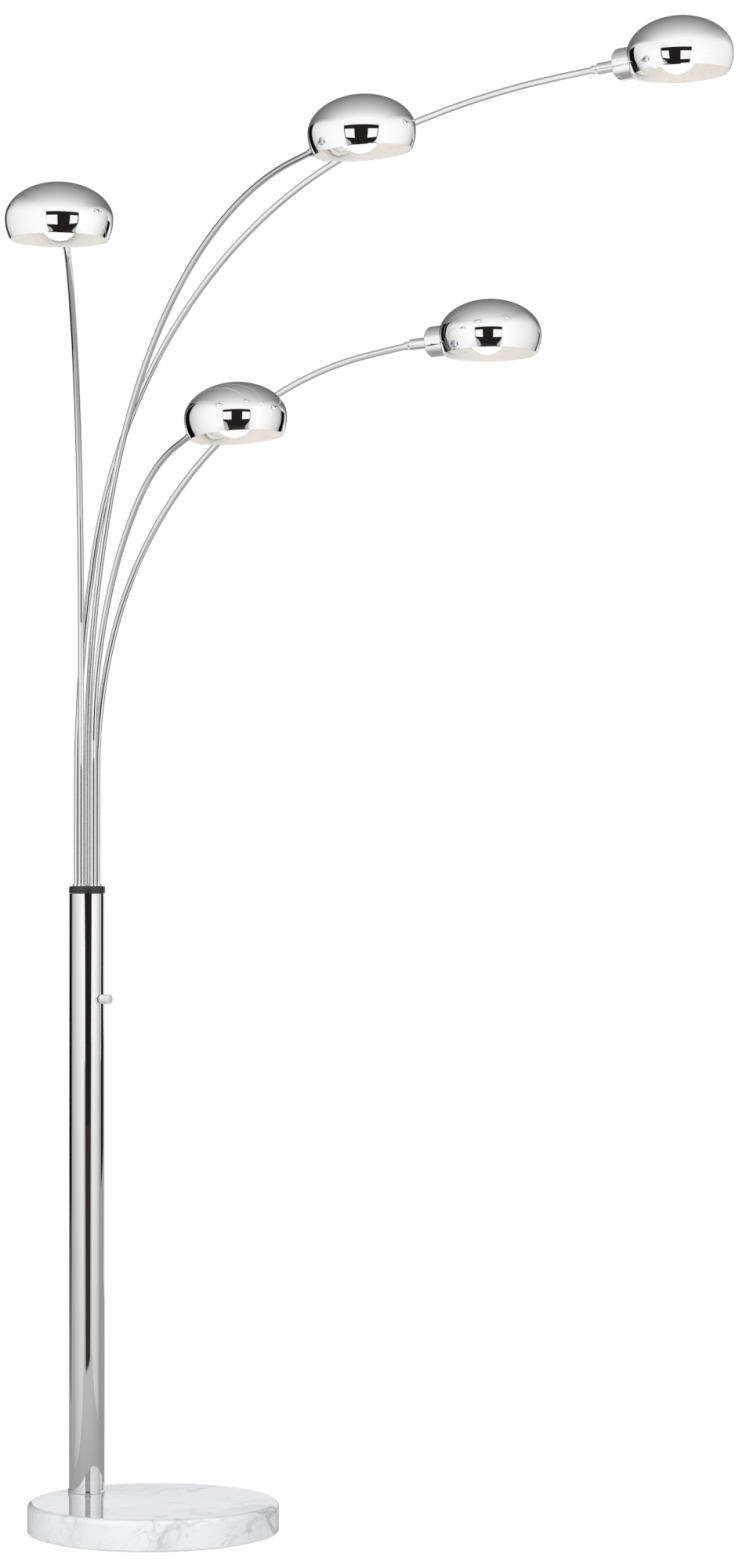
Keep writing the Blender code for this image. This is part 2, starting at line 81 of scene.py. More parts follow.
# bends are (radius, lean from upright at the bend's end in degrees); tilt and roll turn the head
ARMS = [
    dict(bend_from=1.238, bends=[(0.488, 36.2), (0.535, 84.0)], straight=0.042, tilt=0.9, roll=-0.3),
    dict(bend_from=1.066, bends=[(0.982, 22.7), (0.657, 84.0)], straight=0.050, tilt=2.8, roll=3.5),
    dict(bend_from=1.043, bends=[(1.672, 11.1), (0.701, 73.0), (1.425, 86.0)], straight=0.050, tilt=2.9,
         roll=0.5),
    dict(bend_from=1.0995, bends=[(0.470, 46.8), (0.250, 74.0)], straight=0.040, tilt=5.0, roll=1.5),
    dict(bend_from=1.063, bends=[(0.642, 16.6), (0.534, 82.0)], straight=0.060, tilt=2.3, roll=-2.1),
]

# Head, along its own axis from the centre of the ball
COLLAR_RADIUS = 0.0075
COLLAR_MOUTH = -0.0030
COLLAR_CHAMFER = 0.0008
COLLAR_BORE = 0.0045
CUP_RADIUS = 0.0208
CUP_WALL = 0.0011
CUP_BACK = 0.030
CUP_HOLE = 0.0055
SHADE_AT = 0.123
SHADE_RADIUS = 0.0685
SHADE_WALL = 0.0010
SHADE_WIDEST = 0.001
SHADE_TOP = 0.0475
SHADE_RIM = -0.025
SHADE_RIM_RADIUS = 0.062
HOLDER_BACK = 0.040
HOLDER_TAIL_RADIUS = 0.011
HOLDER_FLANGE = (0.0475, 0.0505)
HOLDER_RADIUS = 0.0142
HOLDER_BORE = 0.0118
HOLDER_BORE_BACK = 0.052
HOLDER_FRONT = 0.084
THREAD_FROM = 0.0512
THREAD_PITCH = 0.0016
THREAD_DEPTH = 0.0006
THREAD_TURNS = 14
RING_RADIUS = 0.0185
RING_BACK = 0.0622
RING_LENGTH = 0.004
BULB_AT = 0.118
BULB_RADIUS = 0.025
BULB_NECK = 0.0112
BULB_END = 0.056
BULB_THREAD_PITCH = 0.0026
BULB_THREAD_TURNS = 7

CAMERA_AT = (0.3035, -6.106, 0.978)
CAMERA_PITCH = radians(0.6055)
LENS_MM = 100.5
SENSOR_MM = 36


# Shapes -----------------------------------------------------------------------------------------

def arc(centre, radii, start, end, count):
    """Points on an ellipse from start to end degrees, both included."""
    angles = [radians(start + (end - start) * k / count) for k in range(count + 1)]
    return [(centre[0] + radii[0] * cos(a), centre[1] + radii[1] * sin(a)) for a in angles]


def turned(profile, steps, ring=False, second_from=None):
    """Spin (radius, height) points round Z. Rows from second_from on take the second material."""
    bm = bmesh.new()
    angles = [2 * pi * k / steps for k in range(steps)]
    rows = []
    for radius, height in profile:
        if radius < 1e-7:
            rows.append([bm.verts.new((0, 0, height))])
        else:
            rows.append([bm.verts.new((radius * cos(a), radius * sin(a), height)) for a in angles])
    pairs = list(zip(rows, rows[1:]))
    if ring:
        pairs.append((rows[-1], rows[0]))
    for row, (one, two) in enumerate(pairs):
        if len(one) == len(two) == 1:
            continue
        for k in range(steps):
            n = (k + 1) % steps
            corners = [one[k % len(one)], one[n % len(one)], two[n % len(two)], two[k % len(two)]]
            face = bm.faces.new(list(dict.fromkeys(corners)))
            face.material_index = int(second_from is not None and row >= second_from)
    return bm


def skin(bm, loops):
    """Faces between each loop of corners and the next one."""
    steps = len(loops[0])
    for one, two in zip(loops, loops[1:]):
        for k in range(steps):
            n = (k + 1) % steps
            bm.faces.new((one[k], one[n], two[n], two[k]))


def add_mesh(name, bm, materials, place=None, sharp=35):
    """Object at the origin, its mesh moved to place."""
    if place:
        bm.transform(place)
    bmesh.ops.recalc_face_normals(bm, faces=bm.faces)
    mesh = bpy.data.meshes.new(name)
    bm.to_mesh(mesh)
    bm.free()
    mesh.shade_smooth()
    mesh.set_sharp_from_angle(angle=radians(sharp))
    for material in materials:
        mesh.materials.append(material)
    obj = bpy.data.objects.new(name, mesh)
    bpy.context.scene.collection.objects.link(obj)
    return obj


def add_piece(name, bm, materials, body, nodes, place=None, sharp=35):
    """A finished piece that rides on a body and stands for CAD nodes."""
    obj = add_mesh(name, bm, materials, place, sharp)
    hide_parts(*nodes)
    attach(obj, body)
    return obj


def along(azimuth, height):
    """Frame on the pole's axis whose Z points out sideways towards azimuth."""
    turn = Matrix.Rotation(azimuth, 4, "Z") @ Matrix.Rotation(pi / 2, 4, "Y")
    return Matrix.Translation(POLE_AT + Vector((0, 0, height))) @ turn


# Materials --------------------------------------------------------------------------------------

NOISE_LOW, NOISE_HIGH = 0.3, 0.7  # a noise value mostly stays between these
# (scale, half width, strength, scale of the patches where they show) of coarse, middle and fine veins
MARBLE_VEINS = [(11.0, 0.022, 0.85, 8.0), (24.0, 0.030, 0.65, 12.0), (60.0, 0.035, 0.40, 20.0)]
MARBLE_TURN = (0.5, 0.35, -0.75)


def start_material(name, colour, roughness, metallic=0.0):
    """A new material, its node tree and its shader node."""
    material = bpy.data.materials.new(name)
    material.use_nodes = True
    tree = material.node_tree
    shader = tree.nodes["Principled BSDF"]
    shader.inputs["Base Color"].default_value = (*colour, 1.0)
    shader.inputs["Roughness"].default_value = roughness
    shader.inputs["Metallic"].default_value = metallic
    return material, tree, shader


def noise(tree, scale, detail=3.0, distortion=0.0, stretch=(1, 1, 1), turn=(0, 0, 0)):
    """Noise value in the piece's own coordinates.

    scale is per metre, and stretch lengthens the pattern along the turned axes.
    """
    coordinates = tree.nodes.new("ShaderNodeTexCoord")
    mapping = tree.nodes.new("ShaderNodeMapping")
    mapping.vector_type = "TEXTURE"
    mapping.inputs["Scale"].default_value = stretch
    mapping.inputs["Rotation"].default_value = turn
    texture = tree.nodes.new("ShaderNodeTexNoise")
    texture.inputs["Scale"].default_value = scale
    texture.inputs["Detail"].default_value = detail
    texture.inputs["Distortion"].default_value = distortion
    tree.links.new(coordinates.outputs["Object"], mapping.inputs["Vector"])
    tree.links.new(mapping.outputs["Vector"], texture.inputs["Vector"])
    return texture.outputs["Fac"]


def ranged(tree, source, low, high, to_low, to_high, smooth=False):
    """A value between low and high, mapped to the range from to_low to to_high."""
    node = tree.nodes.new("ShaderNodeMapRange")
    if smooth:
        node.interpolation_type = "SMOOTHSTEP"
    node.inputs["From Min"].default_value = low
    node.inputs["From Max"].default_value = high
    node.inputs["To Min"].default_value = to_low
    node.inputs["To Max"].default_value = to_high
    tree.links.new(source, node.inputs["Value"])
    return node.outputs["Result"]


def calculate(tree, operation, first, second=None):
    """One Math node. Each operand is a socket or a number."""
    node = tree.nodes.new("ShaderNodeMath")
    node.operation = operation
    for socket, value in zip(node.inputs, (first, second)):
        if value is None:
            continue
        if isinstance(value, (int, float)):
            socket.default_value = value
        else:
            tree.links.new(value, socket)
    return node.outputs["Value"]


def blend_colours(tree, factor, first, second):
    """Mix of two colours by a socket. first may be a socket too."""
    node = tree.nodes.new("ShaderNodeMix")
    node.data_type = "RGBA"
    tree.links.new(factor, node.inputs["Factor"])
    if isinstance(first, tuple):
        node.inputs["A"].default_value = (*first, 1.0)
    else:
        tree.links.new(first, node.inputs["A"])
    node.inputs["B"].default_value = (*second, 1.0)
    return node.outputs["Result"]


def vary_roughness(tree, shader, source, low, high, noise_high=NOISE_HIGH):
    """Roughness that follows a noise value from low to high."""
    tree.links.new(ranged(tree, source, NOISE_LOW, noise_high, low, high), shader.inputs["Roughness"])


def add_bump(tree, shader, source, strength, distance):
    bump = tree.nodes.new("ShaderNodeBump")
    bump.inputs["Strength"].default_value = strength
    bump.inputs["Distance"].default_value = distance
    tree.links.new(source, bump.inputs["Height"])
    tree.links.new(bump.outputs["Normal"], shader.inputs["Normal"])


def make_chrome(name, colour=(0.93, 0.93, 0.94), low=0.015, high=0.045):
    """Polished chrome plate with faint wiping marks in its gloss."""
    material, tree, shader = start_material(name, colour, low, metallic=1.0)
    marks = noise(tree, scale=35, detail=5, distortion=0.6)
    vary_roughness(tree, shader, marks, low, high, noise_high=0.75)
    return material


def make_steel():
    """Plain turned steel of the hidden hardware."""
    material, tree, shader = start_material("turned_steel", (0.56, 0.56, 0.58), 0.35, metallic=1.0)
    marks = noise(tree, scale=900, detail=2, stretch=(1, 1, 0.12))
    vary_roughness(tree, shader, marks, 0.28, 0.42)
    add_bump(tree, shader, marks, strength=0.15, distance=0.0001)
    return material


def make_satin():
    """Satin metal of the knob, brushed round its axis."""
    material, tree, shader = start_material("satin_metal", (0.90, 0.90, 0.89), 0.3, metallic=0.6)
    marks = noise(tree, scale=1500, detail=2, stretch=(0.16, 1, 1), turn=(0, 0, DIMMER_AZIMUTH))
    vary_roughness(tree, shader, marks, 0.26, 0.38)
    add_bump(tree, shader, marks, strength=0.12, distance=0.00005)
    return material


def make_enamel():
    """White baked enamel inside the shades."""
    material, tree, shader = start_material("white_enamel", (0.80, 0.79, 0.775), 0.5)
    vary_roughness(tree, shader, noise(tree, scale=120), 0.34, 0.48)
    return material


def make_plastic(name, colour, roughness, grain, strength):
    """Moulded plastic or rubber with a fine grain."""
    material, tree, shader = start_material(name, colour, roughness)
    grains = noise(tree, scale=grain)
    vary_roughness(tree, shader, grains, roughness - 0.06, roughness + 0.08)
    add_bump(tree, shader, grains, strength, distance=0.0002)
    return material


def make_felt():
    """Pressed grey felt."""
    material, tree, shader = start_material("felt", (0.60, 0.60, 0.60), 0.95)
    fibres = noise(tree, scale=1400, detail=4, distortion=1.5)
    colour = blend_colours(tree, fibres, (0.52, 0.52, 0.52), (0.68, 0.68, 0.67))
    tree.links.new(colour, shader.inputs["Base Color"])
    shader.inputs["Sheen Weight"].default_value = 0.4
    add_bump(tree, shader, fibres, strength=0.6, distance=0.0004)
    return material


def make_bulb_glass():
    """Opal glass, lit."""
    material, tree, shader = start_material("opal_glass", (0.95, 0.93, 0.90), 0.12)
    shader.inputs["Emission Color"].default_value = (1.0, 0.93, 0.84, 1.0)
    shader.inputs["Emission Strength"].default_value = 1.2
    vary_roughness(tree, shader, noise(tree, scale=60), 0.10, 0.18)
    return material


def make_marble():
    """White polished marble with soft grey clouds and thin broken veins."""
    material, tree, shader = start_material("white_marble", (0.80, 0.80, 0.82), 0.06)
    clouds = noise(tree, scale=14.0, detail=4, distortion=0.8, stretch=(1, 2.4, 1.5), turn=MARBLE_TURN)
    colour = blend_colours(tree, ranged(tree, clouds, 0.40, 0.72, 0.0, 0.45),
                           (0.775, 0.78, 0.80), (0.58, 0.59, 0.63))
    for scale, half_width, strength, patch in MARBLE_VEINS:
        field = noise(tree, scale, detail=7, distortion=1.1, stretch=(1, 3.4, 1.5), turn=MARBLE_TURN)
        line = calculate(tree, "ABSOLUTE", calculate(tree, "SUBTRACT", field, 0.5))
        line = ranged(tree, line, 0.0, half_width, 1.0, 0.0)
        where = ranged(tree, noise(tree, patch, detail=2, distortion=0.3), 0.45, 0.70, 0.0, strength)
        colour = blend_colours(tree, calculate(tree, "MULTIPLY", line, where), colour, (0.40, 0.41, 0.45))
    tree.links.new(colour, shader.inputs["Base Color"])
    vary_roughness(tree, shader, noise(tree, scale=14, detail=4), 0.04, 0.10)
    shader.inputs["Coat Weight"].default_value = 0.35
    shader.inputs["Coat Roughness"].default_value = 0.03
    shader.inputs["Subsurface Weight"].default_value = 0.12
    shader.inputs["Subsurface Radius"].default_value = (0.006, 0.006, 0.006)
    return material


# The lamp ---------------------------------------------------------------------------------------

def make_base(marble):
    """Marble disc, with the bolt's counterbore cut from below."""
    chamfer = 0.0015
    loop = 0.001  # distance of the extra rings that keep the flat faces' shading flat
    profile = [(0, BASE_LOW), (BASE_RADIUS - chamfer - loop, BASE_LOW), (BASE_RADIUS - chamfer, BASE_LOW),
               (BASE_RADIUS, BASE_LOW + chamfer), (BASE_RADIUS, BASE_LOW + chamfer + loop)]
    profile += arc((BASE_RADIUS - BASE_EDGE, BASE_TOP - BASE_EDGE), (BASE_EDGE, BASE_EDGE), 0, 90, 10)
    profile += [(BASE_RADIUS - BASE_EDGE - loop, BASE_TOP), (0, BASE_TOP)]
    base = add_piece("marble_disc", turned(profile, 160), [marble], "stand", ["marble_base"])
    bore = [(0, 0), (COUNTERBORE_RADIUS, 0), (COUNTERBORE_RADIUS, COUNTERBORE_TOP), (0, COUNTERBORE_TOP)]
    cutter = add_mesh("counterbore", turned(bore, 48), [], Matrix.Translation(POLE_AT))
    modifier = base.modifiers.new("counterbore", "BOOLEAN")
    modifier.object = cutter
    bpy.context.view_layer.update()
    result = bpy.data.meshes.new_from_object(base.evaluated_get(bpy.context.evaluated_depsgraph_get()))
    base.modifiers.clear()
    base.data = result
    bpy.data.objects.remove(cutter)


def make_pole(chrome, black):
    """Pole tube, its foot ring and its cap."""
    place = Matrix.Translation(POLE_AT)
    low = BASE_TOP + GAP
    edge = 0.0004
    loop = 0.002
    tube = [(POLE_BORE, low), (POLE_RADIUS - edge, low), (POLE_RADIUS, low + edge),
            (POLE_RADIUS, low + loop), (POLE_RADIUS, POLE_TOP - loop), (POLE_RADIUS, POLE_TOP - edge),
            (POLE_RADIUS - edge, POLE_TOP), (POLE_BORE, POLE_TOP)]
    add_piece("pole", turned(tube, 128, ring=True), [chrome], "stand", ["pole_tube"], place)

    bore = POLE_RADIUS + CLEARANCE
    top = low + FOOT_RING_HEIGHT
    bead = 0.0006
    edge = 0.0003
    ring = [(bore, low), (FOOT_RING_RADIUS - edge, low), (FOOT_RING_RADIUS, low + edge)]
    ring += arc((FOOT_RING_RADIUS - bead, top - bead), (bead, bead), 0, 90, 4) + [(bore, top)]
    add_piece("foot_ring", turned(ring, 96, ring=True), [chrome], "stand", ["pole_foot_ring"],
              place)

    skirt = POLE_BORE - GAP
    under = POLE_TOP + GAP
    edge = 0.0005
    cap = [(0, under - CAP_SKIRT), (skirt, under - CAP_SKIRT), (skirt, under), (CAP_RADIUS - edge, under),
           (CAP_RADIUS, under + edge), (CAP_RADIUS, under + 0.0012)]
    cap += arc((CAP_RADIUS - CAP_EDGE, CAP_TOP - CAP_EDGE), (CAP_EDGE, CAP_EDGE), 0, 90, 8)
    cap += [(CAP_RADIUS - CAP_EDGE - 0.0004, CAP_TOP), (0, CAP_TOP)]
    add_piece("top_cap", turned(cap, 96), [black], "stand", ["pole_cap"], place)


def make_knob(satin):
    """Slim knob with a groove behind, a barely domed face and a hollow back."""
    back = POLE_RADIUS + 0.0008
    edge = 0.0012
    chamfer = 0.0003
    dome = 0.0003
    groove = KNOB_RADIUS - 0.0004
    knob = [(KNOB_RECESS_RADIUS, back + 0.0002), (KNOB_RECESS_RADIUS + 0.0002, back),
            (KNOB_RADIUS - chamfer, back), (KNOB_RADIUS, back + chamfer), (KNOB_RADIUS, back + 0.0016),
            (groove, back + 0.0020), (groove, back + 0.0026), (KNOB_RADIUS - 0.0001, back + 0.0030),
            (KNOB_RADIUS - 0.0002, KNOB_END - 0.0042), (KNOB_RADIUS, KNOB_END - 0.0036)]
    knob += arc((KNOB_RADIUS - edge, KNOB_END - dome - edge), (edge, edge), 0, 80, 6)
    knob += [(KNOB_RADIUS * 0.5, KNOB_END - dome / 3), (0, KNOB_END), (0, SPINDLE_HOLE_END),
             (SPINDLE_HOLE_RADIUS, SPINDLE_HOLE_END), (SPINDLE_HOLE_RADIUS, KNOB_RECESS_END),
             (KNOB_RECESS_RADIUS, KNOB_RECESS_END)]
    add_piece("knob", turned(knob, 72, ring=True), [satin], "knob", ["dimmer_knob"],
              along(DIMMER_AZIMUTH, DIMMER_HEIGHT))


def make_grommet(rubber):
    """Round grommet, its hole closed just below the lip by a flat black disc: painted shade that stands for
    the dark inside of the bore.
    """
    flange = POLE_RADIUS + CLEARANCE
    top = flange + 0.0018
    edge = 0.0008
    lip = 0.0006
    profile = [(0, flange), (INLET_FLANGE - 0.0002, flange)]
    profile += arc((INLET_FLANGE - edge, flange + edge), (edge, edge), 0, 80, 5)
    profile += arc((INLET_BORE + lip, top - lip), (lip, lip), 60, 180, 6)
    # flat disc across the hole: painted shade in place of the open, dark bore
    profile += [(INLET_BORE, flange + lip), (0, flange + lip)]
    add_piece("inlet_grommet", turned(profile, 40), [rubber], "stand", ["cord_grommet"],
              along(INLET_AZIMUTH, INLET_HEIGHT))


def arm_path(arm):
    """(reach, height, lean from vertical) along an arm, from its seat to the tube's end."""
    step = radians(2)
    path = [(0.0, ARM_SEAT, 0.0), (0.0, arm["bend_from"], 0.0)]
    for radius, end_degrees in arm["bends"]:
        end = radians(end_degrees)
        reach, height, start = path[-1]
        count = max(2, round((end - start) / step))
        for k in range(1, count + 1):
            now = start + (end - start) * k / count
            path.append((reach + radius * (cos(start) - cos(now)),
                         height + radius * (sin(now) - sin(start)), now))
    reach, height, lean = path[-1]
    path.append((reach + arm["straight"] * sin(lean), height + arm["straight"] * cos(lean), lean))
    return path


def swept(path, radius, sides):
    """Closed round bar along a path in the XZ plane."""
    bm = bmesh.new()
    angles = [2 * pi * k / sides for k in range(sides)]
    rows = []
    for reach, height, lean in path:
        across = Vector((cos(lean), 0, -sin(lean)))
        centre = Vector((reach, 0, height))
        rows.append([bm.verts.new(centre + radius * (across * cos(a) + Vector((0, sin(a), 0))))
                     for a in angles])
    skin(bm, rows)
    bm.faces.new(rows[0][::-1])
    bm.faces.new(rows[-1])
    return bm


def make_arm(number, arm, place, chrome):
    """Tube, ferrule and ball stud, all on the arm's body."""
    body = f"arm_{number}"
    path = arm_path(arm)
    add_piece(f"tube_{number}", swept(path, TUBE_RADIUS, 36), [chrome], body, [f"arm_tube_{number}"],
              place)

    low = CAP_TOP + GAP
    top = low + FERRULE_HEIGHT
    bore = TUBE_RADIUS + CLEARANCE
    bead = 0.0008
    edge = 0.0002
    ferrule = [(bore, low), (FERRULE_RADIUS - edge, low), (FERRULE_RADIUS, low + edge)]
    ferrule += arc((FERRULE_RADIUS - bead, top - bead), (bead, bead), 0, 90, 5) + [(bore, top)]
    add_piece(f"ferrule_{number}", turned(ferrule, 48, ring=True), [chrome], body, [f"arm_ferrule_{number}"],
              place)

    reach, height, lean = path[-1]
    end = place @ Matrix.Translation((reach, 0, height)) @ Matrix.Rotation(lean, 4, "Y")
    spigot = TUBE_BORE - 2 * GAP
    edge = 0.0003
    stud = [(0, -SPIGOT_LENGTH), (spigot, -SPIGOT_LENGTH), (spigot, 0), (TIP_COLLAR_RADIUS - edge, 0),
            (TIP_COLLAR_RADIUS, edge), (TIP_COLLAR_RADIUS, TIP_COLLAR_LENGTH - TIP_COLLAR_CHAMFER),
            (TIP_COLLAR_RADIUS - TIP_COLLAR_CHAMFER, TIP_COLLAR_LENGTH),
            (STUD_NECK + edge, TIP_COLLAR_LENGTH), (STUD_NECK, TIP_COLLAR_LENGTH + edge)]
    stud += arc((0, BALL_AT), (BALL_RADIUS, BALL_RADIUS), -56, 90, 16)[:-1] + [(0, BALL_AT + BALL_RADIUS)]
    add_piece(f"ball_{number}", turned(stud, 48), [chrome], body, [f"ball_stud_{number}"], end)


def lower_reach():
    """Half height of the ellipse that the dome follows below its widest place."""
    return (SHADE_WIDEST - SHADE_RIM) / sqrt(1 - (SHADE_RIM_RADIUS / SHADE_RADIUS) ** 2)


def shade_outline(inset, count):
    """Outer (inset 0) or inner outline of the dome, from the top to the rim."""
    radius = SHADE_RADIUS - inset
    above = SHADE_TOP - SHADE_WIDEST - inset
    drop = SHADE_WIDEST - SHADE_RIM
    below = lower_reach()
    upper = [(0, SHADE_WIDEST + above)] + arc((0, SHADE_WIDEST), (radius, above), 90, 0, 2 * count)[1:]
    fractions = [k / count for k in range(1, count + 1)]
    return upper + [(radius * sqrt(1 - (drop * f / below) ** 2), SHADE_WIDEST - drop * f) for f in fractions]


def dome_radius(height):
    """Outer radius of the dome at a height above the head's axis."""
    reach = SHADE_TOP - SHADE_WIDEST if height > SHADE_WIDEST else lower_reach()
    return SHADE_RADIUS * sqrt(1 - ((height - SHADE_WIDEST) / reach) ** 2)


def cup_mesh():
    """Socket cup, its open end shaped to the dome."""
    steps = 72
    edge = 0.0018
    inner = CUP_RADIUS - CUP_WALL
    rows = [(CUP_HOLE, CUP_BACK), (CUP_RADIUS - edge - 0.0004, CUP_BACK)]
    rows += arc((CUP_RADIUS - edge, CUP_BACK + edge), (edge, edge), -90, 0, 6)
    # a row without a reach ends on the dome
    rows += [(CUP_RADIUS, CUP_BACK + edge + 0.0008), (CUP_RADIUS, None), (inner, None),
             (inner, CUP_BACK + CUP_WALL), (CUP_HOLE, CUP_BACK + CUP_WALL)]
    bm = bmesh.new()
    loops = []
    for radius, reach in rows:
        loop = []
        for k in range(steps):
            angle = 2 * pi * k / steps
            side, height = radius * cos(angle), radius * sin(angle)
            if reach is None:
                ahead = SHADE_AT - sqrt((dome_radius(height) + CLEARANCE) ** 2 - side ** 2)
            else:
                ahead = reach
            loop.append(bm.verts.new((ahead, side, height)))
        loops.append(loop)
    skin(bm, loops + loops[:1])
    return bm


def notched_ring(bore, radius, low, high, notches, depth):
    """Clamp ring with notches round its edge, for the tool that tightens it."""
    steps = 96
    notch_steps = 5
    edge = 0.0004
    inner_edge = 0.0003
    bm = bmesh.new()
    loops = []
    corners = [(bore, low), (radius - edge, low), (radius, low + edge), (radius, high - edge),
               (radius - edge, high), (bore + inner_edge, high), (bore, high - inner_edge)]
    for row_radius, height in corners:
        outside = row_radius > bore + 0.001
        loop = []
        for k in range(steps):
            in_notch = outside and (k * notches % steps) < notches * notch_steps
            near = row_radius - depth * in_notch
            angle = 2 * pi * k / steps
            loop.append(bm.verts.new((near * cos(angle), near * sin(angle), height)))
        loops.append(loop)
    skin(bm, loops + loops[:1])
    return bm


def collar_profile():
    """Swivel collar round the ball, with a groove near the cup."""
    end = CUP_BACK - GAP
    seat = BALL_RADIUS + GAP
    edge = 0.0003
    groove = COLLAR_RADIUS - 0.0004
    profile = [(COLLAR_RADIUS - COLLAR_CHAMFER, COLLAR_MOUTH), (COLLAR_RADIUS, COLLAR_MOUTH + COLLAR_CHAMFER),
               (COLLAR_RADIUS, 0.0002), (COLLAR_RADIUS, end - 0.0061), (groove, end - 0.0058),
               (groove, end - 0.0053), (COLLAR_RADIUS, end - 0.0050), (COLLAR_RADIUS, end - 2 * edge),
               (COLLAR_RADIUS - edge, end), (COLLAR_BORE, end), (COLLAR_BORE, 0.0075)]
    return profile + arc((0, 0), (seat, seat), 57, -26, 8) + [(0.0056, COLLAR_MOUTH)]


def holder_profile():
    """Lampholder: narrow tail, flange, threaded body and plain front."""
    edge = 0.0003
    flange = RING_RADIUS - 0.001
    flange_back, flange_front = HOLDER_FLANGE
    profile = [(0, HOLDER_BACK), (HOLDER_TAIL_RADIUS - edge, HOLDER_BACK),
               (HOLDER_TAIL_RADIUS, HOLDER_BACK + edge), (HOLDER_TAIL_RADIUS, flange_back),
               (flange - edge, flange_back), (flange, flange_back + edge), (flange, flange_front - edge),
               (flange - edge, flange_front), (HOLDER_RADIUS, flange_front)]
    root = HOLDER_RADIUS - THREAD_DEPTH
    for k in range(THREAD_TURNS):
        foot = THREAD_FROM + k * THREAD_PITCH
        profile += [(root, foot), (root, foot + 0.3 * THREAD_PITCH),
                    (HOLDER_RADIUS, foot + 0.5 * THREAD_PITCH), (HOLDER_RADIUS, foot + 0.8 * THREAD_PITCH)]
    front = HOLDER_RADIUS - 0.001
    return profile + [(root, 0.0742), (front, 0.0750), (front, HOLDER_FRONT - 0.0008),
                      (front - 0.0004, HOLDER_FRONT - 0.0002), (front - 0.0008, HOLDER_FRONT),
                      (HOLDER_BORE, HOLDER_FRONT), (HOLDER_BORE, HOLDER_BORE_BACK), (0, HOLDER_BORE_BACK)]


def bulb_mesh():
    """Threaded metal base in the first material, glass globe in the second."""
    base = [(0, BULB_END), (0.0035, BULB_END), (0.0050, BULB_END + 0.0018)]
    for k in range(BULB_THREAD_TURNS):
        foot = BULB_END + 0.0040 + k * BULB_THREAD_PITCH
        base += [(BULB_NECK - 0.0024, foot), (BULB_NECK - 0.0014, foot + BULB_THREAD_PITCH / 2)]
    throat = BULB_AT - sqrt(BULB_RADIUS ** 2 - 0.0136 ** 2)
    globe = [(BULB_NECK - 0.0008, BULB_AT - 0.0300), (BULB_NECK, BULB_AT - 0.0285), (0.0117, throat - 0.0015),
             (0.0128, throat - 0.0004)]
    globe += arc((0, BULB_AT), (BULB_RADIUS, BULB_RADIUS), -57, 90, 28)[:-1] + [(0, BULB_AT + BULB_RADIUS)]
    return turned(base + globe, 72, second_from=len(base) - 1)


def make_head(number, place, chrome, shade_chrome, enamel, holder_white, glass, nickel):
    """Everything that tilts on an arm's ball. place is the head's frame, X towards the shade."""
    body = f"head_{number}"
    ahead = place @ Matrix.Rotation(pi / 2, 4, "Y")
    upright = place @ Matrix.Translation((SHADE_AT, 0, 0))

    add_piece(f"collar_{number}", turned(collar_profile(), 56, ring=True), [chrome], body,
              [f"swivel_collar_{number}"], ahead)
    add_piece(f"cup_{number}", cup_mesh(), [chrome], body, [f"socket_cup_{number}"], place)

    outer = shade_outline(0, 20)
    inner = shade_outline(SHADE_WALL, 20)[::-1]
    middle = (outer[-1][0] + inner[0][0]) / 2
    lip = arc((middle, SHADE_RIM), (SHADE_WALL / 2, 0.0005), 0, -180, 6)[1:-1]
    dome = turned(outer + lip + inner, 128, second_from=len(outer) + len(lip) - 1)
    add_piece(f"dome_{number}", dome, [shade_chrome, enamel], body, [f"shade_{number}"],
              upright, sharp=60)

    add_piece(f"holder_{number}", turned(holder_profile(), 64), [holder_white], body,
              [f"lampholder_{number}"], ahead)
    ring = notched_ring(HOLDER_RADIUS + CLEARANCE, RING_RADIUS, RING_BACK, RING_BACK + RING_LENGTH,
                        notches=6, depth=0.0009)
    add_piece(f"clamp_ring_{number}", ring, [holder_white], body, [f"shade_ring_{number}"],
              ahead)
    add_piece(f"globe_{number}", bulb_mesh(), [nickel, glass], body, [f"bulb_{number}"], ahead)


